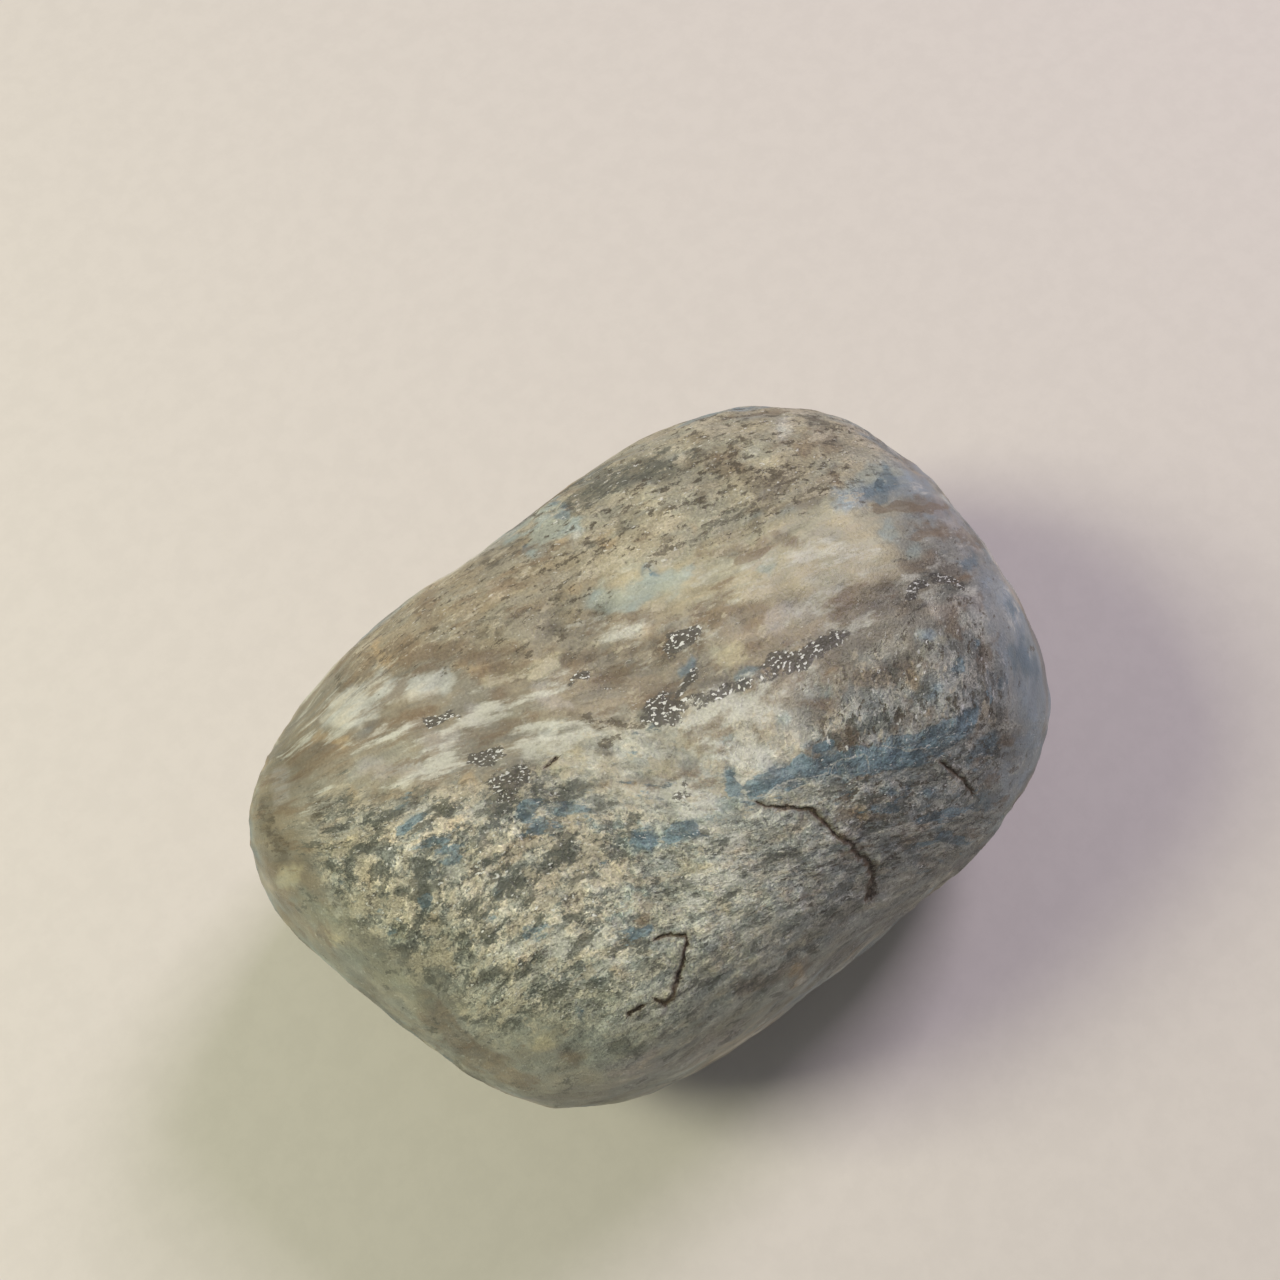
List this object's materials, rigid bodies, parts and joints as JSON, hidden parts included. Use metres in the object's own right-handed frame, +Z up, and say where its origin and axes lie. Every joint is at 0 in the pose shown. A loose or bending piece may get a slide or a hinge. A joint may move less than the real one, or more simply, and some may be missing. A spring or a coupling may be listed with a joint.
{
  "type": "rough jadeite stone",
  "caption": "Water-worn rough jadeite stone, a rounded block in banded grey-green, beige and slate blue, that lies on a small flat spot.",
  "frame": {"origin": "on the surface that the stone lies on, under the middle of its bounding box", "axes": "+X along the stone, from its west end to its east end; +Y across it, to the north side with the waist; +Z up"},
  "size_m": [0.0452, 0.032, 0.0271],
  "materials": {
    "jadeite": "satin, worn smooth, banded and speckled, with small bright glints in the dark patches"
  },
  "bodies": {
    "root": {"jadeite_stone": "jadeite"}
  },
  "joints": []
}
